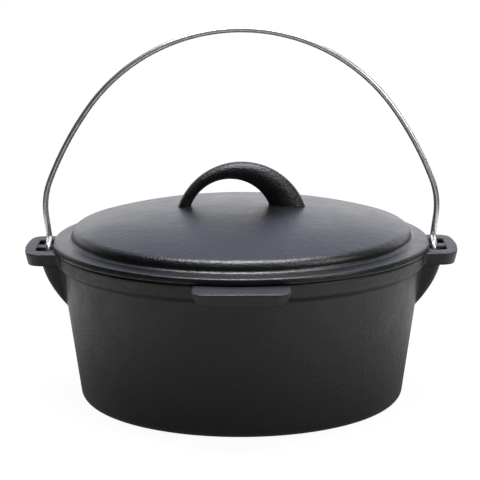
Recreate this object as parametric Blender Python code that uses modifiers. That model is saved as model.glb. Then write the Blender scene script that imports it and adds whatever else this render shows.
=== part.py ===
"""Cast iron camp pot with a flat base, a domed lift-off lid and a steel wire bail.

Metres, +Z up. The pot stands on Z = 0 with its axis on Z. The ears are on the X axis
and the lifting pads on the Y axis. The pot and the lid are one casting each, as the
real ones are, and the bail is one bent wire.
"""

import math

import bmesh
import bpy
from mathutils import Matrix, Vector

# Pot
POT_HEIGHT = 0.1065
POT_RADIUS = 0.1263  # outside of the wall, where its line meets the plane of the rim
WALL_DRAFT = math.radians(7.9)
WALL = 0.0045
FLOOR = 0.0055
BASE_FILLET = 0.0065
FLOOR_FILLET = 0.0120
BAND_HEIGHT = 0.0092
BAND_PROUD = 0.0020
BAND_FADE = 0.0035
RIM_EDGE = 0.0008

# Ears, on plus and minus X
EAR_REACH = 0.0232  # beyond POT_RADIUS
EAR_HALF_WIDTH = 0.0315
EAR_CORNER = 0.0090
EAR_THICKNESS = 0.0088
EAR_DRAFT = 0.0020
EAR_DROP = 0.0003  # the ears and pads stop this far below the rim, so the lid can't rock on them
EAR_EDGE = 0.0010

# Slots that the bail's eye turns in, either side of a round-edged bridge
SLOT_LENGTH = 0.0112
SLOT_CORNER = 0.0040
BRIDGE_WIDTH = 0.0136
BRIDGE_EDGE = 0.0040
BRIDGE_DROP = 0.0003

# Console under each ear
CONSOLE_REACH = 0.0106  # beyond POT_RADIUS, halfway up the ear, where its section ends
CONSOLE_DROP = 0.0312  # foot below the underside of the ear
CONSOLE_BULGE = 0.0032
CONSOLE_TOP_HALF_WIDTH = 0.0277
CONSOLE_FOOT_HALF_WIDTH = 0.0170
CONSOLE_EDGE = 0.0035

# Lifting pads, on plus and minus Y
PAD_REACH = 0.0245
PAD_HALF_WIDTH = 0.0322
PAD_CORNER = 0.0085
PAD_THICKNESS = 0.0086
PAD_SIDE_DRAFT = 0.0040
PAD_FRONT_DRAFT = 0.0012

# Lid
LID_OVERHANG = 0.0017  # beyond the rim band
LID_SEAT_GAP = 0.0003
FLANGE_THICKNESS = 0.0048
FLANGE_WIDTH = 0.0110  # flat ring outside the dome
FLANGE_EDGE = 0.0020
COVE = 0.0022
DOME_SIDE_HEIGHT = 0.0083  # top of the flange to the shoulder
DOME_SIDE_DRAFT = 0.0012
SHOULDER = 0.0034
DOME_RISE = 0.0145  # shoulder to the crown
LID_WALL = 0.0044
LIP_DEPTH = 0.0060
LIP_WIDTH = 0.0040
LIP_ROOT = 0.0020  # above the flange's underside, where the lip's inner slope meets the dome's side
LIP_CLEARANCE = 0.0010

# Handle on the lid: a loop that grows from a slim foot at -X to a broad one at +X
HANDLE_OUTER_RADIUS = 0.0463
HANDLE_OUTER_RISE = 0.0296  # crown of the lid to the top of the handle
HANDLE_INNER_RADIUS = 0.0289
HANDLE_INNER_RISE = 0.0179
HANDLE_INNER_SHIFT = 0.0075  # centre of the finger gap, towards the slim foot
HANDLE_SLIM_DEPTH = 0.0092
HANDLE_BROAD_DEPTH = 0.0140
HANDLE_SINK = 0.0022

# Bail
WIRE_RADIUS = 0.0020
BAIL_CLEARANCE = 0.0020  # edge of the lid to the wire
SLOT_CLEARANCE = 0.0020  # wire to the inner end of the slot
PIVOT_DEPTH = 0.0075  # axis below the top of the ear
RUNNING_CLEARANCE = 0.0003
EYE_BEND = 0.0050
EYE_GAP = 0.0006
EYE_SET_IN = 0.0015  # the front leg of the eye stands this much closer to the lid than the arm
BAIL_SWING = math.radians(95.0)  # forward, from upright to where the arms meet the ears
SWING_CLEARANCE = 0.0007  # arm to the ear's front edge at the end of that swing
PAD_CLEARANCE = 0.0033  # wire to the pad's front as the bail swings down past it
ARM_LEAN = math.radians(6.7)
ELBOW_RADIUS = 0.0520
ELBOW_TURN = math.radians(29.0)
SIDE_RADIUS = 0.2290
SIDE_TURN = math.radians(14.4)

# Resolution
TURN_STEPS = 96
ARC_STEPS = 5
OVERCUT = 0.0020

# Sizes that follow from those above
BAND_RADIUS = POT_RADIUS + BAND_PROUD
LID_RADIUS = BAND_RADIUS + LID_OVERHANG
WALL_SLOPE = math.tan(WALL_DRAFT)
EAR_TOP = POT_HEIGHT - EAR_DROP
EAR_BOTTOM = EAR_TOP - EAR_THICKNESS
BAIL_X = LID_RADIUS + BAIL_CLEARANCE + WIRE_RADIUS
SLOT_INNER_X = BAIL_X - WIRE_RADIUS - SLOT_CLEARANCE
SLOT_OUTER_X = SLOT_INNER_X + SLOT_LENGTH
PAST_LEVEL = BAIL_SWING - math.pi / 2
EAR_EDGE_LEVER = EAR_HALF_WIDTH * math.sin(PAST_LEVEL) + PIVOT_DEPTH * math.cos(PAST_LEVEL)
EYE_HALF_WIDTH = EAR_EDGE_LEVER + WIRE_RADIUS + SWING_CLEARANCE
SLOT_OUTER_Y = 2 * EYE_HALF_WIDTH - BRIDGE_WIDTH / 2
PIVOT_Z = EAR_TOP - PIVOT_DEPTH
BRIDGE_TOP = EAR_TOP - BRIDGE_DROP
BRIDGE_BOTTOM = EAR_BOTTOM + BRIDGE_DROP
LID_BOTTOM = POT_HEIGHT + LID_SEAT_GAP
FLANGE_TOP = LID_BOTTOM + FLANGE_THICKNESS
DOME_RADIUS = LID_RADIUS - FLANGE_WIDTH
SHOULDER_Z = FLANGE_TOP + DOME_SIDE_HEIGHT
CROWN_Z = SHOULDER_Z + DOME_RISE

IRON = {"color": (0.020, 0.020, 0.022), "roughness": 0.55, "metallic": 0.45}
IRON_LID = {"color": (0.028, 0.028, 0.031), "roughness": 0.48, "metallic": 0.45}
ZINC_WIRE = {"color": (0.56, 0.57, 0.54), "roughness": 0.28, "metallic": 1.0}


def wall_radius(z):
    """Outside radius of the pot's wall at height z."""
    return POT_RADIUS - (POT_HEIGHT - z) * WALL_SLOPE


def inner_radius(z):
    """Inside radius of the pot's wall at height z."""
    return wall_radius(z) - WALL / math.cos(WALL_DRAFT)


def arc(center, radius, start, end, steps=ARC_STEPS):
    """Points of an arc in a plane, both ends included, angles in radians."""
    angles = [start + (end - start) * step / steps for step in range(steps + 1)]
    return [(center[0] + radius * math.cos(a), center[1] + radius * math.sin(a)) for a in angles]


def clear_scene():
    """Removes what a new file holds."""
    for item in list(bpy.data.objects):
        bpy.data.objects.remove(item, do_unlink=True)


def make_collection(name):
    """A new collection in the scene."""
    collection = bpy.data.collections.new(name)
    bpy.context.scene.collection.children.link(collection)
    return collection


def make_material(name, look):
    """A Principled material with one colour, roughness and metallic value."""
    material = bpy.data.materials.new(name)
    material.use_nodes = True
    shader = material.node_tree.nodes["Principled BSDF"]
    shader.inputs["Base Color"].default_value = (*look["color"], 1.0)
    shader.inputs["Roughness"].default_value = look["roughness"]
    shader.inputs["Metallic"].default_value = look["metallic"]
    return material


def add_object(name, mesh, collection, material=None):
    """Links a mesh as a named object."""
    item = bpy.data.objects.new(name, mesh)
    collection.objects.link(item)
    if material:
        mesh.materials.append(material)
    return item


def mesh_from(bm, name):
    """Turns a bmesh into a mesh, with its faces pointing out."""
    bmesh.ops.recalc_face_normals(bm, faces=bm.faces[:])
    mesh = bpy.data.meshes.new(name)
    bm.to_mesh(mesh)
    bm.free()
    return mesh


def turned(name, profile, collection, material=None):
    """A shape turned about Z from (radius, height) points that run down its outer side."""
    bm = bmesh.new()
    verts = [bm.verts.new((radius, 0.0, z)) for radius, z in profile]
    for first, second in zip(verts, verts[1:]):
        bm.edges.new((first, second))
    mesh = bpy.data.meshes.new(name)
    bm.to_mesh(mesh)
    bm.free()
    item = add_object(name, mesh, collection, material)
    screw = item.modifiers.new("turn", "SCREW")
    screw.axis = "Z"
    screw.steps = TURN_STEPS
    screw.render_steps = TURN_STEPS
    screw.use_merge_vertices = True
    screw.merge_threshold = 0.00001
    screw.use_smooth_shade = True
    return item


def prism(name, top, z_top, bottom, z_bottom, collection):
    """A solid between two outlines of as many points, one above the other."""
    bm = bmesh.new()
    face = bm.faces.new([bm.verts.new((x, y, z_top)) for x, y in top])
    grown = bmesh.ops.extrude_face_region(bm, geom=[face])["geom"]
    lower = [part for part in grown if isinstance(part, bmesh.types.BMVert)]
    placed = {vert: min(range(len(top)), key=lambda i: (vert.co.xy - Vector(top[i])).length) for vert in lower}
    for vert, index in placed.items():
        vert.co = (*bottom[index], z_bottom)
    return add_object(name, mesh_from(bm, name), collection)


def block(name, low, high, collection):
    """A box between two corners."""
    bm = bmesh.new()
    size = Vector(high) - Vector(low)
    middle = (Vector(high) + Vector(low)) / 2
    matrix = Matrix.Translation(middle) @ Matrix.Diagonal((*size, 1.0))
    bmesh.ops.create_cube(bm, size=1.0, matrix=matrix)
    return add_object(name, mesh_from(bm, name), collection)


def soften(item, width, segments, keep=lambda first, second: True):
    """Bevels the sharp edges of a helper's mesh that keep() accepts."""
    bm = bmesh.new()
    bm.from_mesh(item.data)
    edges = [edge for edge in bm.edges
             if len(edge.link_faces) == 2 and edge.calc_face_angle() > math.radians(40)
             and keep(edge.verts[0].co, edge.verts[1].co)]
    bmesh.ops.bevel(bm, geom=edges, offset=width, segments=segments, profile=0.5, affect="EDGES")
    bm.to_mesh(item.data)
    bm.free()
    return item


def turn_copy(item, name, angle, collection):
    """A copy of a helper, turned about the pot's axis."""
    mesh = item.data.copy()
    mesh.transform(Matrix.Rotation(angle, 4, "Z"))
    return add_object(name, mesh, collection)


def combine(item, other, operation):
    """Adds an exact Boolean with a helper object, which stays out of the renders."""
    boolean = item.modifiers.new(operation.lower() + "_" + other.name, "BOOLEAN")
    boolean.operation = operation
    boolean.solver = "EXACT"
    boolean.object = other
    other.hide_render = True
    other.display_type = "WIRE"


def pot_outside():
    """Outer profile of the pot, from the rim's plane down to the middle of its base."""
    band_bottom = POT_HEIGHT - BAND_HEIGHT
    fade_z = band_bottom - BAND_FADE
    points = [(0.0, POT_HEIGHT)]
    points += arc((BAND_RADIUS - RIM_EDGE, POT_HEIGHT - RIM_EDGE), RIM_EDGE, math.pi / 2, 0.0, 2)
    points += [(BAND_RADIUS - BAND_HEIGHT * WALL_SLOPE / 2, band_bottom)]
    points += [(wall_radius(fade_z), fade_z)]
    fillet_x = wall_radius(BASE_FILLET) - BASE_FILLET / math.cos(WALL_DRAFT)
    points += arc((fillet_x, BASE_FILLET), BASE_FILLET, -WALL_DRAFT, -math.pi / 2)
    points += [(0.0, 0.0)]
    return points


def pot_inside():
    """Profile of the hollow, from above the rim down to the middle of the floor."""
    over = POT_HEIGHT + OVERCUT
    points = [(0.0, over), (inner_radius(POT_HEIGHT) + RIM_EDGE, over)]
    points += [(inner_radius(POT_HEIGHT) + RIM_EDGE, POT_HEIGHT + RIM_EDGE / 4)]
    points += [(inner_radius(POT_HEIGHT - RIM_EDGE), POT_HEIGHT - RIM_EDGE)]
    middle_z = FLOOR + FLOOR_FILLET
    fillet_x = inner_radius(middle_z) - FLOOR_FILLET / math.cos(WALL_DRAFT)
    points += arc((fillet_x, middle_z), FLOOR_FILLET, -WALL_DRAFT, -math.pi / 2)
    points += [(0.0, FLOOR)]
    return points


def tab_outline(reach, half_width, corner, follows_rim):
    """Plan of an ear or pad that points along +X and starts inside the wall."""
    start_x = math.sqrt(inner_radius(EAR_BOTTOM) ** 2 - half_width ** 2) - OVERCUT
    center_y = half_width - corner
    if follows_rim:
        center_x = math.sqrt((reach - corner) ** 2 - center_y ** 2)
        lean = math.atan2(center_y, center_x)
        front = arc((0.0, 0.0), reach, lean, -lean, 2 * ARC_STEPS)[1:-1]
    else:
        center_x = reach - corner
        lean = 0.0
        front = []
    side = arc((center_x, center_y), corner, math.pi / 2, lean)
    mirrored = [(x, -y) for x, y in reversed(side)]
    return [(start_x, half_width)] + side + front + mirrored + [(start_x, -half_width)]


def tab(name, reach, half_width, corner, thickness, side_draft, front_draft, follows_rim, collection):
    """A drafted tab with softened edges, pointing along +X."""
    reach += POT_RADIUS
    top = tab_outline(reach, half_width, corner, follows_rim)
    bottom = tab_outline(reach - front_draft, half_width - side_draft, corner, follows_rim)
    bottom = [(top[0][0], bottom[0][1])] + bottom[1:-1] + [(top[0][0], bottom[-1][1])]
    item = prism(name, top, EAR_TOP, bottom, EAR_TOP - thickness, collection)
    start_x = top[0][0]
    return soften(item, EAR_EDGE, 2, lambda a, b: max(a.x, b.x) > start_x + EAR_EDGE and abs(a.z - b.z) < EAR_EDGE)


def console_outline():
    """Side view of the console in X and Z, from inside the ear down to its foot inside the wall."""
    top_z = (EAR_TOP + EAR_BOTTOM) / 2
    head = Vector((POT_RADIUS + CONSOLE_REACH, top_z))
    foot_z = EAR_BOTTOM - CONSOLE_DROP
    foot = Vector((wall_radius(foot_z) - WALL / 3, foot_z))
    chord = foot - head
    radius = (chord.length ** 2 / 4 + CONSOLE_BULGE ** 2) / (2 * CONSOLE_BULGE)
    outward = Vector((-chord.y, chord.x)).normalized()
    center = (head + foot) / 2 - outward * (radius - CONSOLE_BULGE)
    start = math.atan2(head.y - center.y, head.x - center.x)
    end = math.atan2(foot.y - center.y, foot.x - center.x)
    curve = arc(center, radius, start, end, 2 * ARC_STEPS)
    inner_x = wall_radius(foot_z) - WALL / 1.5
    return curve + [(inner_x, foot_z), (inner_x, top_z)]


def console(name, collection):
    """The bracket under an ear, narrower towards its foot."""
    outline = console_outline()
    foot_z = EAR_BOTTOM - CONSOLE_DROP
    bm = bmesh.new()
    face = bm.faces.new([bm.verts.new((x, -1.0, z)) for x, z in outline])
    grown = bmesh.ops.extrude_face_region(bm, geom=[face])["geom"]
    for vert in [part for part in grown if isinstance(part, bmesh.types.BMVert)]:
        vert.co.y = 1.0
    for vert in bm.verts:
        share = (vert.co.z - foot_z) / CONSOLE_DROP
        half_width = CONSOLE_FOOT_HALF_WIDTH + (CONSOLE_TOP_HALF_WIDTH - CONSOLE_FOOT_HALF_WIDTH) * share
        vert.co.y *= half_width
    item = add_object(name, mesh_from(bm, name), collection)
    inner_x = outline[-1][0]
    return soften(item, CONSOLE_EDGE, 2, lambda a, b: min(a.x, b.x) > inner_x + CONSOLE_EDGE and a.y * b.y > 0)


def bridge(name, collection):
    """The round-edged bar between the two slots of an ear."""
    low = (SLOT_INNER_X - OVERCUT / 2, -BRIDGE_WIDTH / 2, BRIDGE_BOTTOM)
    high = (SLOT_OUTER_X + OVERCUT / 2, BRIDGE_WIDTH / 2, BRIDGE_TOP)
    item = block(name, low, high, collection)
    return soften(item, BRIDGE_EDGE, 4, lambda a, b: abs(a.x - b.x) > OVERCUT)


def make_pot(collection, helpers, material):
    """The pot: shell, ears, consoles and pads in one casting, with its slots cut."""
    pot = turned("pot", pot_outside(), collection, material)
    ear = tab("ear_right", EAR_REACH, EAR_HALF_WIDTH, EAR_CORNER, EAR_THICKNESS, EAR_DRAFT, EAR_DRAFT, True, helpers)
    pad = tab("pad_seed", PAD_REACH, PAD_HALF_WIDTH, PAD_CORNER, PAD_THICKNESS,
              PAD_SIDE_DRAFT, PAD_FRONT_DRAFT, False, helpers)
    bracket = console("console_right", helpers)
    opening = block("opening_right", (SLOT_INNER_X, -SLOT_OUTER_Y, EAR_BOTTOM - CONSOLE_DROP - OVERCUT),
                    (SLOT_OUTER_X, SLOT_OUTER_Y, EAR_TOP + OVERCUT), helpers)
    soften(opening, SLOT_CORNER, 3, lambda a, b: abs(a.z - b.z) > OVERCUT and a.x > BAIL_X)
    bar = bridge("bridge_right", helpers)
    hollow = turned("hollow", pot_inside(), helpers)

    half_turn = math.pi
    combine(pot, ear, "UNION")
    combine(pot, turn_copy(ear, "ear_left", half_turn, helpers), "UNION")
    combine(pot, bracket, "UNION")
    combine(pot, turn_copy(bracket, "console_left", half_turn, helpers), "UNION")
    combine(pot, turn_copy(pad, "pad_front", -half_turn / 2, helpers), "UNION")
    combine(pot, turn_copy(pad, "pad_back", half_turn / 2, helpers), "UNION")
    combine(pot, hollow, "DIFFERENCE")
    combine(pot, opening, "DIFFERENCE")
    combine(pot, turn_copy(opening, "opening_left", half_turn, helpers), "DIFFERENCE")
    combine(pot, bar, "UNION")
    combine(pot, turn_copy(bar, "bridge_left", half_turn, helpers), "UNION")
    bpy.data.objects.remove(pad, do_unlink=True)
    return pot


def crown_arc(radius, edge_z, rise, steps):
    """Spherical cap from the middle of the lid out to a radius, as (radius, height) points."""
    ball = (radius ** 2 + rise ** 2) / (2 * rise)
    spread = math.asin(radius / ball)
    return arc((0.0, edge_z + rise - ball), ball, math.pi / 2, math.pi / 2 - spread, steps)


def lid_profile():
    """Section of the lid, from its crown down the outside and back under to the axis."""
    side_x = DOME_RADIUS - COVE
    shoulder_x = side_x - DOME_SIDE_DRAFT - SHOULDER
    outside = crown_arc(shoulder_x, SHOULDER_Z, DOME_RISE, 7)
    fall = math.radians(70)
    outside += arc((shoulder_x, SHOULDER_Z - SHOULDER), SHOULDER, fall, 0.0, 4)
    outside += arc((DOME_RADIUS, FLANGE_TOP + COVE), COVE, math.pi, math.pi * 1.5, 3)
    outside += arc((LID_RADIUS - FLANGE_EDGE, FLANGE_TOP - FLANGE_EDGE), FLANGE_EDGE, math.pi / 2, 0.0, 2)
    outside += [(LID_RADIUS - FLANGE_EDGE / 2, LID_BOTTOM)]

    lip_outer = inner_radius(POT_HEIGHT - LIP_DEPTH) - LIP_CLEARANCE
    lip_inner = lip_outer - LIP_WIDTH
    lip_bottom = LID_BOTTOM - LIP_DEPTH
    inner_x = min(lip_inner, shoulder_x + SHOULDER - LID_WALL)
    under_z = SHOULDER_Z - LID_WALL
    inside = [(lip_outer + LIP_CLEARANCE / 2, LID_BOTTOM), (lip_outer, lip_bottom + RIM_EDGE)]
    inside += [(lip_outer - RIM_EDGE, lip_bottom), (lip_inner + RIM_EDGE, lip_bottom)]
    inside += [(lip_inner, lip_bottom + RIM_EDGE), (inner_x, LID_BOTTOM + LIP_ROOT)]
    inside += arc((inner_x - SHOULDER, under_z - SHOULDER), SHOULDER, 0.0, fall, 3)
    inside += reversed(crown_arc(inner_x - SHOULDER, under_z, DOME_RISE, 6))
    return outside + inside


def handle_sections():
    """Outer and inner points of the handle's sections, from the slim foot to the broad one."""
    outer_z = CROWN_Z + HANDLE_OUTER_RISE - HANDLE_OUTER_RADIUS
    inner_z = CROWN_Z + HANDLE_INNER_RISE - HANDLE_INNER_RADIUS
    foot_z = CROWN_Z - HANDLE_SINK
    outer_dip = math.asin((foot_z - outer_z) / HANDLE_OUTER_RADIUS)
    inner_dip = math.asin((foot_z - inner_z) / HANDLE_INNER_RADIUS)
    steps = 3 * ARC_STEPS
    outer = arc((0.0, outer_z), HANDLE_OUTER_RADIUS, math.pi - outer_dip, outer_dip, steps)
    inner = arc((-HANDLE_INNER_SHIFT, inner_z), HANDLE_INNER_RADIUS, math.pi - inner_dip, inner_dip, steps)
    return list(zip(outer, inner))


def make_handle(helpers):
    """The handle, lofted through oval sections between its outer and inner arcs."""
    sections = handle_sections()
    bm = bmesh.new()
    rings = []
    for index, (outer, inner) in enumerate(sections):
        middle = Vector(((outer[0] + inner[0]) / 2, 0.0, (outer[1] + inner[1]) / 2))
        across = Vector((outer[0] - inner[0], 0.0, outer[1] - inner[1])) / 2
        share = index / (len(sections) - 1)
        depth = (HANDLE_SLIM_DEPTH + (HANDLE_BROAD_DEPTH - HANDLE_SLIM_DEPTH) * share) / 2
        ring = bmesh.ops.create_circle(bm, cap_ends=False, radius=1.0, segments=16)["verts"]
        for vert in ring:
            vert.co = middle + across * vert.co.x + Vector((0.0, depth * vert.co.y, 0.0))
        rings.append(ring)
    loops = [edge for edge in bm.edges]
    for first, second in zip(rings, rings[1:]):
        pair = set(first) | set(second)
        bmesh.ops.bridge_loops(bm, edges=[edge for edge in loops if set(edge.verts) <= pair])
    bm.faces.new(rings[0])
    bm.faces.new(rings[-1])
    return add_object("handle", mesh_from(bm, "handle"), helpers)


def make_lid(collection, helpers, material):
    """The lid and its handle in one casting."""
    lid = turned("lid", lid_profile(), collection, material)
    combine(lid, make_handle(helpers), "UNION")
    return lid


def eye_heights():
    """Centre line of the eye above and below the pivot, clear of the bridge at every angle."""
    flat = BRIDGE_WIDTH / 2 - BRIDGE_EDGE
    above = math.hypot(flat, BRIDGE_TOP - BRIDGE_EDGE - PIVOT_Z)
    below = math.hypot(flat, BRIDGE_BOTTOM + BRIDGE_EDGE - PIVOT_Z)
    spare = BRIDGE_EDGE + RUNNING_CLEARANCE + WIRE_RADIUS
    return above + spare, below + spare


def eye_path():
    """The eye in Y and Z about the pivot: up the back leg's foot, under, up the front and over."""
    rise, fall = eye_heights()
    inset = EYE_HALF_WIDTH - EYE_BEND
    end_y = EYE_HALF_WIDTH - 2 * WIRE_RADIUS - EYE_GAP
    path = [(end_y, rise)]
    path += arc((-inset, rise - EYE_BEND), EYE_BEND, math.pi / 2, math.pi)
    path += arc((-inset, EYE_BEND - fall), EYE_BEND, math.pi, 1.5 * math.pi)
    path += arc((inset, EYE_BEND - fall), EYE_BEND, -math.pi / 2, 0.0)
    return path + [(EYE_HALF_WIDTH, rise)]


def bow_path(arm):
    """Half of the bow in X and height above the eye, from the ear up its straight arm to the apex."""
    lean = ARM_LEAN
    x = BAIL_X + arm * math.sin(lean)
    z = arm * math.cos(lean)
    path = []
    for radius, turn, steps in ((ELBOW_RADIUS, ELBOW_TURN, 6), (SIDE_RADIUS, SIDE_TURN, 5)):
        center = (x - radius * math.cos(lean), z + radius * math.sin(lean))
        path += arc(center, radius, -lean, turn - lean, steps)[:-1]
        lean -= turn
        x = center[0] + radius * math.cos(lean)
        z = center[1] - radius * math.sin(lean)
    radius = x / math.cos(lean)
    path += arc((0.0, z + radius * math.sin(lean)), radius, -lean, math.pi / 2, 12)
    return path


def arm_length():
    """Straight arm that brings the bow just past the pads; the apex rises in step with it."""
    needed = POT_RADIUS + PAD_REACH + PAD_CLEARANCE + WIRE_RADIUS - eye_heights()[0]
    without = bow_path(0.0)[-1][1]
    per_metre = bow_path(1.0)[-1][1] - without
    return (needed - without) / per_metre


def bail_points():
    """Centre line of the whole wire, from one eye's end to the other's."""
    rise = eye_heights()[0]
    slant = EYE_SET_IN / (2 * EYE_HALF_WIDTH)
    right = [Vector((BAIL_X - (EYE_HALF_WIDTH - y) * slant, y, PIVOT_Z + z)) for y, z in eye_path()]
    right += [Vector((x, EYE_HALF_WIDTH, PIVOT_Z + rise + z)) for x, z in bow_path(arm_length())]
    left = [Vector((-point.x, point.y, point.z)) for point in reversed(right[:-1])]
    return right + left


def make_bail(collection, material):
    """The bail, one bent wire with a closed eye round each ear's bridge."""
    points = bail_points()
    curve = bpy.data.curves.new("bail", "CURVE")
    curve.dimensions = "3D"
    curve.bevel_depth = WIRE_RADIUS
    curve.bevel_resolution = 3
    curve.use_fill_caps = True
    pivot = Vector((0.0, 0.0, PIVOT_Z))
    spline = curve.splines.new("POLY")
    spline.points.add(len(points) - 1)
    for target, point in zip(spline.points, points):
        target.co = (*(point - pivot), 1.0)
    bail = bpy.data.objects.new("bail", curve)
    curve.materials.append(material)
    bail.location = pivot
    collection.objects.link(bail)
    return bail


def main():
    """Builds the pot, the lid and the bail."""
    clear_scene()
    parts = make_collection("camp_pot")
    helpers = make_collection("camp_pot_helpers")
    make_pot(parts, helpers, make_material("seasoned_iron", IRON))
    make_lid(parts, helpers, make_material("seasoned_iron_lid", IRON_LID))
    make_bail(parts, make_material("zinc_plated_wire", ZINC_WIRE))


main()
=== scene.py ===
import math

import bmesh
import bpy
from mathutils import Matrix, Vector


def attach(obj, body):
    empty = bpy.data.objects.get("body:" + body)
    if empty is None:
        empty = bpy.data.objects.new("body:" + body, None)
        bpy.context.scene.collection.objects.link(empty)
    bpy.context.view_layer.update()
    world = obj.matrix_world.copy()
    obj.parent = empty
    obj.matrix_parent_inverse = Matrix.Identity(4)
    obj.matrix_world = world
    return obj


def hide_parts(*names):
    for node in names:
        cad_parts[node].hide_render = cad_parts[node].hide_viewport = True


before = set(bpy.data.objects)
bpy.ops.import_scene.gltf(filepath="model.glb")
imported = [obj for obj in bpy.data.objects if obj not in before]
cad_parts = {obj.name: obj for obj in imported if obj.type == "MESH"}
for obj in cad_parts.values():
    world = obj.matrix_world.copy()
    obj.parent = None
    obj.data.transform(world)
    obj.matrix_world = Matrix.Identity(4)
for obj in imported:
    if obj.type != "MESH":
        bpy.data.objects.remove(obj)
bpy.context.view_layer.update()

# Pot, in metres, as in the frame
RIM = 0.1065
RIM_RADIUS = 0.1263
RIM_ROUND_OUT, RIM_ROUND_IN = 0.0018, 0.0012
WALL_DRAFT = 7.9
SLOPE = math.tan(math.radians(WALL_DRAFT))
WALL = 0.0045
FLOOR = 0.0055
BASE_FILLET = 0.0065
FLOOR_FILLET = 0.0120
BAND_RADIUS = 0.1283
BAND_LOW, BAND_HIGH = 0.0932, 0.0980

# Ears and lifting pads
EAR_TOP, EAR_BOTTOM = 0.1062, 0.0974
EAR_REACH, EAR_HALF_WIDTH, EAR_CORNER, EAR_TAPER = 0.1495, 0.0315, 0.0090, 0.0020
PAD_REACH, PAD_HALF_WIDTH, PAD_CORNER, PAD_THICKNESS = 0.1508, 0.0322, 0.0085, 0.0086
PAD_SIDE_TAPER, PAD_FRONT_TAPER = 0.0040, 0.0012
SLOTS_LOW, SLOTS_HIGH, SLOTS_CORNER = (0.1300, -0.01903, 0.060), (0.1412, 0.01903, 0.112), 0.0038
BRIDGE_LOW, BRIDGE_HIGH, BRIDGE_EDGE = (0.1292, -0.0047, 0.0977), (0.1420, 0.0047, 0.1055), 0.0004

# Where ears and pads grow from the wall: a patch that lies just under its skin and below its rim
ROOT_RADIUS = 0.1222
ROOT_HALF_ANGLE = 17.5
ROOT_DEPTH = 0.0028
ROOT_SINK = 0.00006
ROOT_DROP = 0.0006
EAR_ROOT_LOW, PAD_ROOT_LOW = 0.0600, 0.0900

# Bracket under each ear
FOOT_DROP = 0.0312
HEAD_REACH = 0.0106
HEAD_HALF_WIDTH, FOOT_HALF_WIDTH = 0.0277, 0.0170
BRACKET_BULGE = 0.0032
BRACKET_CORNER = 0.0042
BRACKET_ROOT, FOOT_SINK = 0.0040, 0.0015

# Lid
LID_BOTTOM = 0.1068
LID_RADIUS = 0.1300
CROWN = 0.1349
CROWN_BALL, CROWN_REACH = 0.480, 0.070
HAUNCH_BALL, HAUNCH_REACH = 0.300, 0.1129
SHOULDER = 0.0062
COVE_OUT, COVE_DOWN = 0.0035, 0.0025
FLANGE_FALL = 4.5
FLANGE_LEAN = 0.0005
FLANGE_ROUND, FLANGE_UNDER_ROUND = 0.0014, 0.0010
LIP_GAP, LIP_DEPTH = 0.0010, 0.0060
LIP_ROUND, LIP_ROOT, LIP_ROOT_REACH = 0.0010, 0.0008, 0.0012
LIP_BACK = (0.1116, 0.1084)
HOLLOW_RADIUS, HOLLOW_TOP, HOLLOW_ROUND = 0.1112, 0.1155, 0.0034
CROWN_THICKNESS = 0.0047

# Handle of the lid: centre in X, radius and top of its outer and of its inner arc
OUTER_ARC = (0.0004, 0.0465, 0.1643)
INNER_ARC = (-0.0075, 0.0289, 0.1523)
HANDLE_FOOT = 0.1318
SLIM_DEPTH, BROAD_DEPTH = 0.0092, 0.0140

# Bail
PIVOT_Z = 0.0987
WIRE = 0.00199
ARM_X = 0.1340
ARM_LEAN = 7.6
BOW_BENDS = ((0.0520, 29.0, 16), (0.2290, 14.4, 14))
BOW_GAP = 0.0023
# The CAD's bridge, which the eye turns round: half width, underside, top and edge radius
BRIDGE_SECTION = (0.0068, 0.0977, 0.1059, 0.0040)
EYE_BEND = 0.0050
EYE_OFFSET = 0.0015
EYE_SPACE, ARM_SPACE, END_SPACE = 0.0003, 0.0007, 0.0006
LYING_ANGLE = 5.0


def linear(code):
    """An sRGB hex colour as linear RGBA."""
    channels = [int(code[i:i + 2], 16) / 255 for i in (1, 3, 5)]
    return (*[c / 12.92 if c <= 0.04045 else ((c + 0.055) / 1.055) ** 2.4 for c in channels], 1.0)


def add(tree, kind, links=(), **settings):
    """Adds a node; a setting that names one of its inputs fills it, the rest are the node's own."""
    made = tree.nodes.new(kind)
    for key, value in settings.items():
        if hasattr(made, key):
            setattr(made, key, value)
        else:
            made.inputs[key.replace("_", " ")].default_value = value
    for source, target in links:
        tree.links.new(source, made.inputs[target])
    return made


# Shapes

def arc(center, radius, start, end, steps):
    """Points of an arc, both ends included, angles in degrees."""
    angles = [math.radians(start + (end - start) * step / steps) for step in range(steps + 1)]
    return [(center[0] + radius * math.cos(a), center[1] + radius * math.sin(a)) for a in angles]


def run(start, end, steps):
    """Points between two points, both left out."""
    return [tuple(a + (b - a) * i / steps for a, b in zip(start, end)) for i in range(1, steps)]


def rises(start, end, steps):
    """Even heights from the first to the last, the first left out."""
    return [start + (end - start) * i / steps for i in range(1, steps + 1)]


def wall_radius(z):
    """Outside radius of the pot's plain wall."""
    return RIM_RADIUS - (RIM - z) * SLOPE


def outer_radius(z):
    """Outside radius of the wall with its soft rim band, which has half the wall's draft."""
    share = min(max((z - BAND_LOW) / (BAND_HIGH - BAND_LOW), 0.0), 1.0)
    share = share * share * (3 - 2 * share)
    band = BAND_RADIUS - (RIM - z) * SLOPE / 2
    return wall_radius(z) + (band - wall_radius(z)) * share


def inner_radius(z):
    """Inside radius of the pot's wall."""
    return wall_radius(z) - WALL / math.cos(math.radians(WALL_DRAFT))


def placed(name, data):
    """A new object in the scene."""
    item = bpy.data.objects.new(name, data)
    bpy.context.scene.collection.objects.link(item)
    return item


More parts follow.
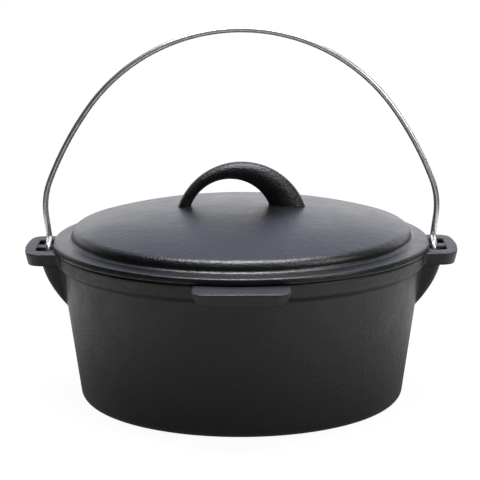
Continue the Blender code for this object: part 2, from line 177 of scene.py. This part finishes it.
def finish_mesh(bm, name):
    """Closes doubles, turns faces outwards, shades smooth and returns the object."""
    bmesh.ops.remove_doubles(bm, verts=bm.verts[:], dist=0.000001)
    bmesh.ops.recalc_face_normals(bm, faces=bm.faces[:])
    mesh = bpy.data.meshes.new(name)
    bm.to_mesh(mesh)
    bm.free()
    mesh.shade_smooth()
    return placed(name, mesh)


def turned(name, profile, steps):
    """A shape turned about Z from (radius, height) points."""
    bm = bmesh.new()
    verts = [bm.verts.new((r, 0.0, z)) for r, z in profile]
    edges = [bm.edges.new(pair) for pair in zip(verts, verts[1:])]
    bmesh.ops.spin(bm, geom=verts + edges, cent=(0, 0, 0), axis=(0, 0, 1), angle=math.tau, steps=steps,
                   use_merge=True)
    return finish_mesh(bm, name)


def applied(item, name):
    """The item's mesh with its modifiers applied, as a new object; the item goes."""
    depsgraph = bpy.context.evaluated_depsgraph_get()
    depsgraph.update()
    mesh = bpy.data.meshes.new_from_object(item.evaluated_get(depsgraph), depsgraph=depsgraph)
    bpy.data.objects.remove(item)
    return placed(name, mesh)


def cut(item, cutter):
    """The item less the cutter."""
    boolean = item.modifiers.new("cut", "BOOLEAN")
    boolean.operation = "DIFFERENCE"
    boolean.solver = "EXACT"
    boolean.object = cutter
    made = applied(item, item.name)
    bpy.data.objects.remove(cutter)
    return made


def joined(name, items, turns=(0.0,)):
    """One object from several, with a copy for each turn about Z in degrees."""
    bm = bmesh.new()
    for item in items:
        for turn in turns:
            mesh = item.data.copy()
            mesh.transform(Matrix.Rotation(math.radians(turn), 4, "Z"))
            bm.from_mesh(mesh)
            bpy.data.meshes.remove(mesh)
    for item in items:
        bpy.data.objects.remove(item)
    mesh = bpy.data.meshes.new(name)
    bm.to_mesh(mesh)
    bm.free()
    mesh.shade_smooth()
    return placed(name, mesh)


def cast_together(name, items, voxel, rounds):
    """Fuses overlapping closed shapes into one skin and softens its corners, as a sand mould does."""
    item = joined(name, items)
    remesh = item.modifiers.new("skin", "REMESH")
    remesh.mode = "VOXEL"
    remesh.voxel_size = voxel
    remesh.adaptivity = 0.0
    item = applied(item, name)
    bm = bmesh.new()
    bm.from_mesh(item.data)
    for _ in range(rounds):
        bmesh.ops.smooth_vert(bm, verts=bm.verts[:], factor=0.5, use_axis_x=True, use_axis_y=True,
                              use_axis_z=True)
    bmesh.ops.recalc_face_normals(bm, faces=bm.faces[:])
    bm.to_mesh(item.data)
    bm.free()
    item.data.shade_smooth()
    return item


def lofted(name, outlines):
    """A closed solid through a row of outlines, each with as many points."""
    bm = bmesh.new()
    loops = []
    for outline in outlines:
        verts = [bm.verts.new(point) for point in outline]
        loops.append([bm.edges.new(pair) for pair in zip(verts, verts[1:] + verts[:1])])
    for first, second in zip(loops, loops[1:]):
        bmesh.ops.bridge_loops(bm, edges=first + second)
    bmesh.ops.contextual_create(bm, geom=loops[0])
    bmesh.ops.contextual_create(bm, geom=loops[-1])
    return finish_mesh(bm, name)


def block(name, low, high, edge, segments, axis):
    """A box between two corners, with its edges along one axis rounded."""
    bm = bmesh.new()
    size = Vector(high) - Vector(low)
    middle = (Vector(high) + Vector(low)) / 2
    bmesh.ops.create_cube(bm, size=1.0, matrix=Matrix.Translation(middle) @ Matrix.Diagonal((*size, 1.0)))
    along = [e for e in bm.edges if abs((e.verts[0].co - e.verts[1].co)[axis]) > size[axis] / 2]
    bmesh.ops.bevel(bm, geom=along, offset=edge, segments=segments, profile=0.5, affect="EDGES", material=-1)
    return finish_mesh(bm, name)


# Pot

def make_shell():
    """The turned shell, from the middle of the base round the rim to the middle of the floor."""
    lean = math.radians(WALL_DRAFT)
    base = (wall_radius(BASE_FILLET) - BASE_FILLET / math.cos(lean), BASE_FILLET)
    points = [(0.0, 0.0)] + run((0.0, 0.0), (base[0], 0.0), 12)
    points += arc(base, BASE_FILLET, -90, -WALL_DRAFT, 10)
    # Rings lie closer together where the wall bends out into the band
    bend_low, bend_high = 0.0918, 0.1012
    heights = rises(points[-1][1], bend_low, 26) + rises(bend_low, bend_high, 16)
    heights += rises(bend_high, RIM - RIM_ROUND_OUT, 3)
    points += [(outer_radius(z), z) for z in heights]
    points += arc((points[-1][0] - RIM_ROUND_OUT, RIM - RIM_ROUND_OUT), RIM_ROUND_OUT, 0, 90, 7)
    center = (inner_radius(RIM) + RIM_ROUND_IN, RIM - RIM_ROUND_IN)
    points += arc(center, RIM_ROUND_IN, 90, 180 - WALL_DRAFT, 5)
    middle_z = FLOOR + FLOOR_FILLET
    center = (inner_radius(middle_z) - FLOOR_FILLET / math.cos(lean), middle_z)
    bend = arc(center, FLOOR_FILLET, -WALL_DRAFT, -90, 12)
    points += run(points[-1], bend[0], 30) + bend + run(bend[-1], (0.0, FLOOR), 12) + [(0.0, FLOOR)]
    return turned("shell", points, 168)


def wall_patch(low):
    """A thin piece of the wall just under its skin, for an ear or pad to grow from."""
    heights = [low] + rises(low, RIM - ROOT_DROP, 40)
    outside = [(outer_radius(z) - ROOT_SINK, z) for z in heights]
    inside = [(wall_radius(z) - ROOT_DEPTH, z) for z in reversed(heights)]
    bm = bmesh.new()
    face = bm.faces.new([bm.verts.new((r, 0.0, z)) for r, z in outside + inside])
    bmesh.ops.spin(bm, geom=[face] + face.edges[:] + face.verts[:], cent=(0, 0, 0), axis=(0, 0, 1),
                   angle=math.radians(2 * ROOT_HALF_ANGLE), steps=28, use_merge=False)
    bm.transform(Matrix.Rotation(math.radians(-ROOT_HALF_ANGLE), 4, "Z"))
    return finish_mesh(bm, "patch")


def tab_outline(reach, half_width, corner, follows_rim):
    """Plan of an ear or pad along +X, with its inner end bent to lie in the wall."""
    y = half_width - corner
    if follows_rim:
        center = (math.sqrt((reach - corner) ** 2 - y ** 2), y)
        lean = math.degrees(math.atan2(y, center[0]))
        front = arc((0.0, 0.0), reach, lean, -lean, 24)[1:-1]
    else:
        center, lean, front = (reach - corner, y), 0.0, []
    side = arc(center, corner, 90, lean, 10)
    spread = math.degrees(math.asin(half_width / ROOT_RADIUS))
    inner = arc((0.0, 0.0), ROOT_RADIUS, -spread, spread, 12)
    return side + front + [(x, -v) for x, v in reversed(side)] + inner


def make_tab(name, reach, half_width, corner, thickness, side_taper, front_taper, follows_rim):
    """An ear or lifting pad, smaller at its underside than at its top."""
    top = tab_outline(reach, half_width, corner, follows_rim)
    bottom = tab_outline(reach - front_taper, half_width - side_taper, corner, follows_rim)
    return lofted(name, [[(x, y, EAR_TOP) for x, y in top], [(x, y, EAR_TOP - thickness) for x, y in bottom]])


def make_bracket():
    """The bracket under an ear, narrower and shallower towards its foot, with round front corners."""
    foot_z = EAR_BOTTOM - FOOT_DROP
    head = Vector((RIM_RADIUS + HEAD_REACH, (EAR_TOP + EAR_BOTTOM) / 2))
    foot = Vector((wall_radius(foot_z) - FOOT_SINK, foot_z))
    chord = foot - head
    radius = (chord.length ** 2 / 4 + BRACKET_BULGE ** 2) / (2 * BRACKET_BULGE)
    outward = Vector((-chord.y, chord.x)).normalized()
    center = (head + foot) / 2 - outward * (radius - BRACKET_BULGE)
    start = math.degrees(math.atan2(head.y - center.y, head.x - center.x))
    end = math.degrees(math.atan2(foot.y - center.y, foot.x - center.x))
    widening = (HEAD_HALF_WIDTH - FOOT_HALF_WIDTH) / FOOT_DROP
    slices = []
    for front, z in arc(center, radius, start, end, 24):
        half = FOOT_HALF_WIDTH + widening * (z - foot_z)
        back = wall_radius(z) - BRACKET_ROOT
        corner = min(BRACKET_CORNER, (front - back) * 0.45)
        side = arc((front - corner, half - corner), corner, 90, 0, 8)
        outline = [(back, half)] + side + [(x, -y) for x, y in reversed(side)] + [(back, -half)]
        slices.append([(x, y, z) for x, y in outline])
    return lofted("bracket", slices)


def make_pot():
    """Shell, ears with their brackets and bridges, and pads, as one casting."""
    ear = make_tab("ear", EAR_REACH, EAR_HALF_WIDTH, EAR_CORNER, EAR_TOP - EAR_BOTTOM, EAR_TAPER, EAR_TAPER,
                   follows_rim=True)
    slotted = [cut(item, block("slots", SLOTS_LOW, SLOTS_HIGH, SLOTS_CORNER, 6, axis=2))
               for item in (ear, make_bracket())]
    bridge = block("bridge", BRIDGE_LOW, BRIDGE_HIGH, BRIDGE_EDGE, 2, axis=0)
    ear = cast_together("ear", slotted + [wall_patch(EAR_ROOT_LOW)], voxel=0.00075, rounds=3)
    ears = joined("ears", [joined("ear", [ear, bridge])], (0.0, 180.0))
    pad = make_tab("pad", PAD_REACH, PAD_HALF_WIDTH, PAD_CORNER, PAD_THICKNESS, PAD_SIDE_TAPER,
                   PAD_FRONT_TAPER, follows_rim=False)
    pad = cast_together("pad", [pad, wall_patch(PAD_ROOT_LOW)], voxel=0.0008, rounds=4)
    pads = joined("pads", [pad], (90.0, -90.0))
    return joined("pot_casting", [make_shell(), ears, pads])


# Lid

def lid_profile():
    """Section of the lid, from its crown down the outside and back under to the axis."""
    first = math.degrees(math.asin(CROWN_REACH / CROWN_BALL))
    points = arc((0.0, CROWN - CROWN_BALL), CROWN_BALL, 90, 90 - first, 26)
    x, z = points[-1]
    center = (x - HAUNCH_BALL * CROWN_REACH / CROWN_BALL, z - HAUNCH_BALL * math.cos(math.radians(first)))
    lean = math.asin((HAUNCH_REACH - center[0]) / HAUNCH_BALL)
    last = math.degrees(lean)
    points += arc(center, HAUNCH_BALL, 90 - first, 90 - last, 18)[1:]
    x, z = points[-1]
    center = (x - SHOULDER * math.sin(lean), z - SHOULDER * math.cos(lean))
    points += arc(center, SHOULDER, 90 - last, 0, 14)[1:]
    # The cove is a quarter of an oval that ends where it reaches the flange's slope
    slope = math.radians(FLANGE_FALL)
    middle = (points[-1][0] + COVE_OUT, points[-1][1])
    flat = math.degrees(math.atan(math.tan(slope) * COVE_OUT / COVE_DOWN))
    cove = arc((0.0, 0.0), 1.0, 180, 270 - flat, 14)
    points += [(middle[0] + COVE_OUT * x, middle[1] + COVE_DOWN * z) for x, z in cove[1:]]
    edge_x = LID_RADIUS - FLANGE_LEAN - FLANGE_ROUND
    reach = edge_x + FLANGE_ROUND * math.sin(slope) - points[-1][0]
    edge_z = points[-1][1] - reach * math.tan(slope) - FLANGE_ROUND * math.cos(slope)
    bend = arc((edge_x, edge_z), FLANGE_ROUND, 90 - FLANGE_FALL, 8, 7)
    points += run(points[-1], bend[0], 6) + bend
    under = FLANGE_UNDER_ROUND
    low = arc((LID_RADIUS - under, LID_BOTTOM + under), under, 0, -90, 7)
    # The lip that keeps the lid in the pot's mouth, then the hollow behind it
    lip = inner_radius(RIM - LIP_DEPTH) - LIP_GAP
    root = arc((lip + LIP_ROOT_REACH, LID_BOTTOM - LIP_ROOT), LIP_ROOT, 90, 180, 4)
    points += low + run(low[-1], root[0], 5) + root
    lip_low = LID_BOTTOM - LIP_DEPTH + LIP_ROUND
    points += arc((lip - LIP_ROUND, lip_low), LIP_ROUND, 0, -90, 4)
    points += arc((lip - 3 * LIP_ROUND, lip_low), LIP_ROUND, -90, -180, 4)
    points += [LIP_BACK]
    points += arc((HOLLOW_RADIUS - HOLLOW_ROUND, HOLLOW_TOP - HOLLOW_ROUND), HOLLOW_ROUND, 0, 76, 8)
    reach, z = points[-1]
    rise = CROWN - CROWN_THICKNESS - z
    ball = (reach ** 2 + rise ** 2) / (2 * rise)
    spread = math.degrees(math.asin(reach / ball))
    points += arc((0.0, CROWN - CROWN_THICKNESS - ball), ball, 90 - spread, 90, 30)[1:]
    return points


def make_handle():
    """The horn-shaped loop, lofted through round sections from its slim foot to its broad one."""
    count = 56
    sides = []
    for x, radius, top in (OUTER_ARC, INNER_ARC):
        dip = math.degrees(math.asin((HANDLE_FOOT - top + radius) / radius))
        sides.append(arc((x, top - radius), radius, 180 - dip, dip, count))
    bm = bmesh.new()
    rings = []
    for index, (a, b) in enumerate(zip(*sides)):
        middle = Vector(((a[0] + b[0]) / 2, 0.0, (a[1] + b[1]) / 2))
        across = Vector((a[0] - b[0], 0.0, a[1] - b[1])) / 2
        depth = (SLIM_DEPTH + (BROAD_DEPTH - SLIM_DEPTH) * index / count) / 2
        ring = bmesh.ops.create_circle(bm, cap_ends=False, radius=1.0, segments=32)["verts"]
        for vert in ring:
            vert.co = middle + across * vert.co.x + Vector((0.0, depth * vert.co.y, 0.0))
        rings.append(ring)
    loops = bm.edges[:]
    for first, second in zip(rings, rings[1:]):
        pair = set(first) | set(second)
        bmesh.ops.bridge_loops(bm, edges=[e for e in loops if set(e.verts) <= pair])
    bm.faces.new(rings[0])
    bm.faces.new(rings[-1])
    return finish_mesh(bm, "handle")


# Bail

def eye_heights():
    """How far the eye's top and bottom lie from the hinge axis, to turn freely round the bridge."""
    half_width, bottom, top, edge = BRIDGE_SECTION
    flat = half_width - edge
    above = math.hypot(flat, top - edge - PIVOT_Z)
    below = math.hypot(flat, bottom + edge - PIVOT_Z)
    spare = edge + EYE_SPACE + WIRE
    return above + spare, below + spare


def bow_path(arm):
    """Half of the bow in X and height above the eye, up to the apex."""
    lean = math.radians(ARM_LEAN)
    x = ARM_X + arm * math.sin(lean)
    z = arm * math.cos(lean)
    path = [(ARM_X, 0.0)] + run((ARM_X, 0.0), (x, z), 4)
    for radius, turn, steps in BOW_BENDS:
        center = (x - radius * math.cos(lean), z + radius * math.sin(lean))
        path += arc(center, radius, -math.degrees(lean), turn - math.degrees(lean), steps)[:-1]
        lean -= math.radians(turn)
        x = center[0] + radius * math.cos(lean)
        z = center[1] - radius * math.sin(lean)
    radius = x / math.cos(lean)
    path += arc((0.0, z + radius * math.sin(lean)), radius, -math.degrees(lean), 90, 40)
    return path


def make_bail():
    """One bent wire with a closed eye round each ear's bridge."""
    rise, fall = eye_heights()
    # Half the eye's width keeps the arm off the ear's front edge when the bail lies down
    lying = math.radians(LYING_ANGLE)
    half = EAR_HALF_WIDTH * math.sin(lying) + (EAR_TOP - PIVOT_Z) * math.cos(lying) + WIRE + ARM_SPACE
    inset = half - EYE_BEND
    end = half - 2 * WIRE - END_SPACE
    eye = [(end, rise)] + run((end, rise), (-inset, rise), 5)
    eye += arc((-inset, rise - EYE_BEND), EYE_BEND, 90, 180, 10)
    eye += arc((-inset, EYE_BEND - fall), EYE_BEND, 180, 270, 10)
    eye += arc((inset, EYE_BEND - fall), EYE_BEND, -90, 0, 10)
    eye += run(eye[-1], (half, rise), 4)
    # The arm is as long as the bow needs to clear the front pad when it lies down
    without = bow_path(0.0)[-1][1]
    needed = PAD_REACH + BOW_GAP + WIRE - rise
    arm = (needed - without) / (bow_path(1.0)[-1][1] - without)
    slant = EYE_OFFSET / (2 * half)
    right = [Vector((ARM_X - (half - y) * slant, y, PIVOT_Z + z)) for y, z in eye]
    right += [Vector((x, half, PIVOT_Z + rise + z)) for x, z in bow_path(arm)]
    points = right + [Vector((-p.x, p.y, p.z)) for p in reversed(right[:-1])]
    curve = bpy.data.curves.new("wire", "CURVE")
    curve.dimensions = "3D"
    curve.bevel_depth = WIRE
    curve.bevel_resolution = 6
    curve.use_fill_caps = True
    spline = curve.splines.new("POLY")
    spline.points.add(len(points) - 1)
    for target, point in zip(spline.points, points):
        target.co = (*point, 1.0)
    wire = applied(placed("wire", curve), "wire")
    bm = bmesh.new()
    bm.from_mesh(wire.data)
    bpy.data.objects.remove(wire)
    return finish_mesh(bm, "bail_wire")


# Materials

def two_tones(tree, pattern, start, dark, end, light):
    """Runs from one colour to the other over a pattern, into the shader's colour."""
    color = add(tree, "ShaderNodeValToRGB", [(pattern, "Fac")])
    for element, position, code in zip(color.color_ramp.elements, (start, end), (dark, light)):
        element.position = position
        element.color = linear(code)
    tree.links.new(color.outputs["Color"], tree.nodes["Principled BSDF"].inputs["Base Color"])


def cast_iron(name, dark, light, roughness, spread, grain, depth, ripple):
    """Sand-cast iron under a film of burnt-on oil.

    The film gives the eye a near black body with a soft satin shine. The sand of the mould
    leaves a fine pebbled grain, slow ripples and patches where the oil filled it more or less.
    grain is its spacing, depth and ripple are heights, in metres. The oil's IOR is the usual 1.5.
    """
    material = bpy.data.materials.new(name)
    material.use_nodes = True
    tree = material.node_tree
    shader = tree.nodes["Principled BSDF"]
    place = add(tree, "ShaderNodeTexCoord").outputs["Object"]
    # Patches of thicker and thinner oil, about 22 mm across
    cloud = add(tree, "ShaderNodeTexNoise", [(place, "Vector")], Scale=45.0, Detail=4.0, Roughness=0.6)
    two_tones(tree, cloud.outputs["Fac"], 0.35, dark, 0.68, light)
    worn = add(tree, "ShaderNodeMapRange", [(cloud.outputs["Fac"], "Value")], From_Min=0.3, From_Max=0.7,
               To_Min=roughness - spread, To_Max=roughness + spread)
    tree.links.new(worn.outputs["Result"], shader.inputs["Roughness"])
    # Moulding sand is about 0.3 mm, less than half a pixel, so its grain is drawn at 0.7 to 1 mm
    fine = add(tree, "ShaderNodeTexNoise", [(place, "Vector")], Scale=1 / grain, Detail=3.0, Roughness=0.55)
    # Pits between the grains stand nearly twice as far apart
    pits = add(tree, "ShaderNodeTexVoronoi", [(place, "Vector")], Scale=1 / (grain * 1.9),
               feature="SMOOTH_F1", Smoothness=0.6)
    sand = add(tree, "ShaderNodeMath", [(fine.outputs["Fac"], 0), (pits.outputs["Distance"], 1)],
               operation="ADD")
    # Ripples of the pattern and mould, about 6 mm from one to the next
    wave = add(tree, "ShaderNodeTexNoise", [(place, "Vector")], Scale=160.0, Detail=2.0, Roughness=0.5)
    first = add(tree, "ShaderNodeBump", [(sand.outputs[0], "Height")], Strength=1.0, Distance=depth)
    second = add(tree, "ShaderNodeBump", [(wave.outputs["Fac"], "Height"),
                                          (first.outputs["Normal"], "Normal")], Strength=1.0, Distance=ripple)
    tree.links.new(second.outputs["Normal"], shader.inputs["Normal"])
    return material


def zinc_wire(name):
    """Drawn steel wire with a bright zinc coat.

    It gives the eye a pale, slightly warm metal whose shine is soft at its edges and broken up
    by duller specks. Metallic 1 and the default IOR, with roughness 0.24 to 0.36.
    """
    material = bpy.data.materials.new(name)
    material.use_nodes = True
    tree = material.node_tree
    shader = tree.nodes["Principled BSDF"]
    shader.inputs["Metallic"].default_value = 1.0
    place = add(tree, "ShaderNodeTexCoord").outputs["Object"]
    # Cloudy spots in the zinc, about 4.5 mm apart
    cloud = add(tree, "ShaderNodeTexNoise", [(place, "Vector")], Scale=220.0, Detail=5.0, Roughness=0.65)
    two_tones(tree, cloud.outputs["Fac"], 0.32, "#b4b5aa", 0.62, "#dcddd6")
    worn = add(tree, "ShaderNodeMapRange", [(cloud.outputs["Fac"], "Value")], From_Min=0.3, From_Max=0.7,
               To_Min=0.36, To_Max=0.24)
    tree.links.new(worn.outputs["Result"], shader.inputs["Roughness"])
    bump = add(tree, "ShaderNodeBump", [(cloud.outputs["Fac"], "Height")], Strength=1.0, Distance=0.00002)
    tree.links.new(bump.outputs["Normal"], shader.inputs["Normal"])
    return material


# Put together

def dress(item, material, body, node):
    """Gives a piece its material and its body, and hides the node it stands for."""
    item.data.materials.clear()
    item.data.materials.append(material)
    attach(item, body)
    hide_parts(node)


dress(make_pot(), cast_iron("Seasoned cast iron", "#060606", "#0d0d0d", roughness=0.50, spread=0.05,
                            grain=0.0010, depth=0.0002, ripple=0.0003), "pot", "pot")

cover = turned("plate", lid_profile(), 200)
cover_faces = len(cover.data.polygons)
lid = joined("lid_casting", [cover, make_handle()])
dress(lid, cast_iron("Seasoned cast iron, lid", "#020202", "#060607", roughness=0.33, spread=0.04,
                     grain=0.0008, depth=0.00017, ripple=0.0002), "lid", "lid")
lid.data.materials.append(cast_iron("Oiled cast iron, handle", "#010101", "#020202", roughness=0.36,
                                    spread=0.05, grain=0.0007, depth=0.00028, ripple=0.0003))
for face in lid.data.polygons:
    face.material_index = 0 if face.index < cover_faces else 1

dress(make_bail(), zinc_wire("Zinc plated steel wire"), "bail", "bail")


# Stage

def make_floor():
    """A pale table, white to the eye.

    In the iron's reflections it glows instead with painted light: painted shade close to the pot,
    painted light round it, more to the right and to the sides than in the middle, and dim further out.
    """
    # It lies 0.2 mm low, so that it shares no face with the pot's base
    bm = bmesh.new()
    bmesh.ops.create_grid(bm, x_segments=2, y_segments=2, size=12.0)
    bm.transform(Matrix.Translation((0, 0, -0.0002)))
    mesh = bpy.data.meshes.new("floor")
    bm.to_mesh(mesh)
    bm.free()
    floor = placed("floor", mesh)
    material = bpy.data.materials.new("White table, painted glow")
    material.use_nodes = True
    tree = material.node_tree
    shader = tree.nodes["Principled BSDF"]
    shader.inputs["Base Color"].default_value = linear("#383838")
    shader.inputs["Roughness"].default_value = 0.9
    shader.inputs["Specular IOR Level"].default_value = 0.1
    shader.inputs["Emission Color"].default_value = (1.0, 1.0, 1.0, 1.0)
    place = add(tree, "ShaderNodeTexCoord").outputs["Object"]
    away = add(tree, "ShaderNodeVectorMath", [(place, "Vector")], operation="LENGTH").outputs["Value"]
    across = add(tree, "ShaderNodeSeparateXYZ", [(place, "Vector")]).outputs["X"]
    apart = add(tree, "ShaderNodeMath", [(across, 0)], operation="ABSOLUTE").outputs[0]
    # Painted glow for reflections: painted shade close to the pot, painted light round it and to the right
    near = add(tree, "ShaderNodeMapRange", [(away, "Value")], From_Min=0.16, From_Max=0.38,
               To_Min=0.25, To_Max=1.38, interpolation_type="SMOOTHSTEP")
    side = add(tree, "ShaderNodeMapRange", [(across, "Value")], From_Min=-0.25, From_Max=0.25,
               To_Min=1.12, To_Max=1.40, interpolation_type="SMOOTHSTEP")
    middle = add(tree, "ShaderNodeMapRange", [(apart, "Value")], From_Min=0.05, From_Max=0.30,
                 To_Min=0.72, To_Max=1.10, interpolation_type="SMOOTHSTEP")
    close = near.outputs["Result"]
    for factor in (side, middle):
        product = add(tree, "ShaderNodeMath", [(close, 0), (factor.outputs["Result"], 1)],
                      operation="MULTIPLY")
        close = product.outputs[0]
    outer = add(tree, "ShaderNodeMapRange", [(apart, "Value")], From_Min=0.10, From_Max=0.50,
                To_Min=0.18, To_Max=0.04, interpolation_type="SMOOTHSTEP")
    far = add(tree, "ShaderNodeMapRange", [(away, "Value")], From_Min=0.44, From_Max=0.54,
              interpolation_type="SMOOTHSTEP")
    level = add(tree, "ShaderNodeMix", [(far.outputs["Result"], "Factor"), (close, "A"),
                                        (outer.outputs["Result"], "B")])
    # The camera sees an even white glow, and every other ray sees the painted glow above
    seen = add(tree, "ShaderNodeLightPath").outputs["Is Camera Ray"]
    glow = add(tree, "ShaderNodeMix", [(seen, "Factor"), (level.outputs["Result"], "A")], B=0.95)
    tree.links.new(glow.outputs["Result"], shader.inputs["Emission Strength"])
    mesh.materials.append(material)


def softbox(name, place, target, width, height, radiance):
    """A rectangular white lamp with a given radiance, not seen by the camera."""
    data = bpy.data.lights.new(name, "AREA")
    data.shape = "RECTANGLE"
    data.size, data.size_y = width, height
    data.energy = radiance * math.pi * width * height
    lamp = placed(name, data)
    lamp.location = place
    lamp.rotation_euler = (Vector(target) - Vector(place)).to_track_quat("-Z", "Y").to_euler()
    lamp.visible_camera = False


def make_world():
    """White to the eye; for reflections bright behind the pot, cooler higher up, dim on the viewer's side."""
    white = (1.0, 1.0, 1.0, 1.0)
    world = bpy.data.worlds.new("studio")
    bpy.context.scene.world = world
    world.use_nodes = True
    tree = world.node_tree
    direction = add(tree, "ShaderNodeTexCoord").outputs["Generated"]
    parts = add(tree, "ShaderNodeSeparateXYZ", [(direction, "Vector")])
    # The wall behind the pot, by compass heading, by height and from left to right
    level_way = add(tree, "ShaderNodeVectorMath", [(direction, 0)], operation="MULTIPLY")
    level_way.inputs[1].default_value = (1.0, 1.0, 0.0)
    heading = add(tree, "ShaderNodeVectorMath", [(level_way.outputs[0], 0)], operation="NORMALIZE")
    heading = add(tree, "ShaderNodeSeparateXYZ", [(heading.outputs[0], "Vector")])
    depth = add(tree, "ShaderNodeMapRange", [(heading.outputs["Y"], "Value")], From_Min=0.35, From_Max=0.85,
                To_Min=0.04, To_Max=1.0, interpolation_type="SMOOTHSTEP")
    fall = add(tree, "ShaderNodeMapRange", [(parts.outputs["Z"], "Value")], From_Min=0.05, From_Max=0.50,
               To_Min=1.65, To_Max=0.98, interpolation_type="SMOOTHSTEP")
    side = add(tree, "ShaderNodeMapRange", [(parts.outputs["X"], "Value")], From_Min=-0.5, From_Max=0.5,
               To_Min=0.88, To_Max=1.24)
    back_wall = depth.outputs["Result"]
    for factor in (fall, side):
        product = add(tree, "ShaderNodeMath", [(back_wall, 0), (factor.outputs["Result"], 1)],
                      operation="MULTIPLY")
        back_wall = product.outputs[0]
    # The ceiling, brightest in a strip over the pot from front to back
    height = add(tree, "ShaderNodeMapRange", [(parts.outputs["Z"], "Value")], From_Min=0.25, From_Max=0.75,
                 To_Min=0.0, To_Max=1.1, interpolation_type="SMOOTHSTEP")
    apart = add(tree, "ShaderNodeMath", [(parts.outputs["X"], 0)], operation="ABSOLUTE")
    strip = add(tree, "ShaderNodeMapRange", [(apart.outputs[0], "Value")], From_Min=0.20, From_Max=0.50,
                To_Min=1.0, To_Max=0.12, interpolation_type="SMOOTHSTEP")
    ceiling = add(tree, "ShaderNodeMath", [(height.outputs["Result"], 0), (strip.outputs["Result"], 1)],
                  operation="MULTIPLY")
    level = add(tree, "ShaderNodeMath", [(back_wall, 0), (ceiling.outputs[0], 1)], operation="MAXIMUM")
    seen = add(tree, "ShaderNodeLightPath").outputs["Is Camera Ray"]
    strength = add(tree, "ShaderNodeMix", [(seen, "Factor"), (level.outputs[0], "A")], B=1.0)
    back = tree.nodes["Background"]
    tree.links.new(strength.outputs["Result"], back.inputs["Strength"])
    # In a Mix node of colours 6 and 7 are the two colours and 2 is the result
    rise = add(tree, "ShaderNodeMapRange", [(parts.outputs["Z"], "Value")], From_Min=0.15, From_Max=0.55,
               interpolation_type="SMOOTHSTEP")
    cool = add(tree, "ShaderNodeMix", [(rise.outputs["Result"], "Factor")], data_type="RGBA")
    cool.inputs[6].default_value = white
    cool.inputs[7].default_value = (0.80, 0.86, 1.12, 1.0)
    tint = add(tree, "ShaderNodeMix", [(seen, "Factor"), (cool.outputs[2], 6)], data_type="RGBA")
    tint.inputs[7].default_value = white
    tree.links.new(tint.outputs[2], back.inputs["Color"])


def make_camera():
    """A long lens in front of the pot and a little above it, as fitted to the photograph's outlines."""
    frame_width, focal_length, shift = 480, 2063.3, -1.21
    tilt_down, roll = 0.20873, -0.00391
    data = bpy.data.cameras.new("camera")
    data.sensor_width = 36.0
    data.lens = focal_length * data.sensor_width / frame_width
    data.shift_x = shift / frame_width
    camera = placed("camera", data)
    turn = Matrix.Rotation(math.pi / 2 - tilt_down, 4, "X") @ Matrix.Rotation(roll, 4, "Z")
    camera.matrix_world = Matrix.Translation((0.0, -1.4, 0.4057)) @ turn
    bpy.context.scene.camera = camera


make_floor()
make_world()
softbox("top", (0.035, -0.10, 1.30), (0.0, -0.10, 0.1), width=0.42, height=0.95, radiance=22.5)
softbox("right", (0.95, -0.60, 0.70), (0.0, 0.0, 0.12), width=0.50, height=0.50, radiance=7.0)
make_camera()
bpy.context.scene.view_settings.view_transform = "Standard"
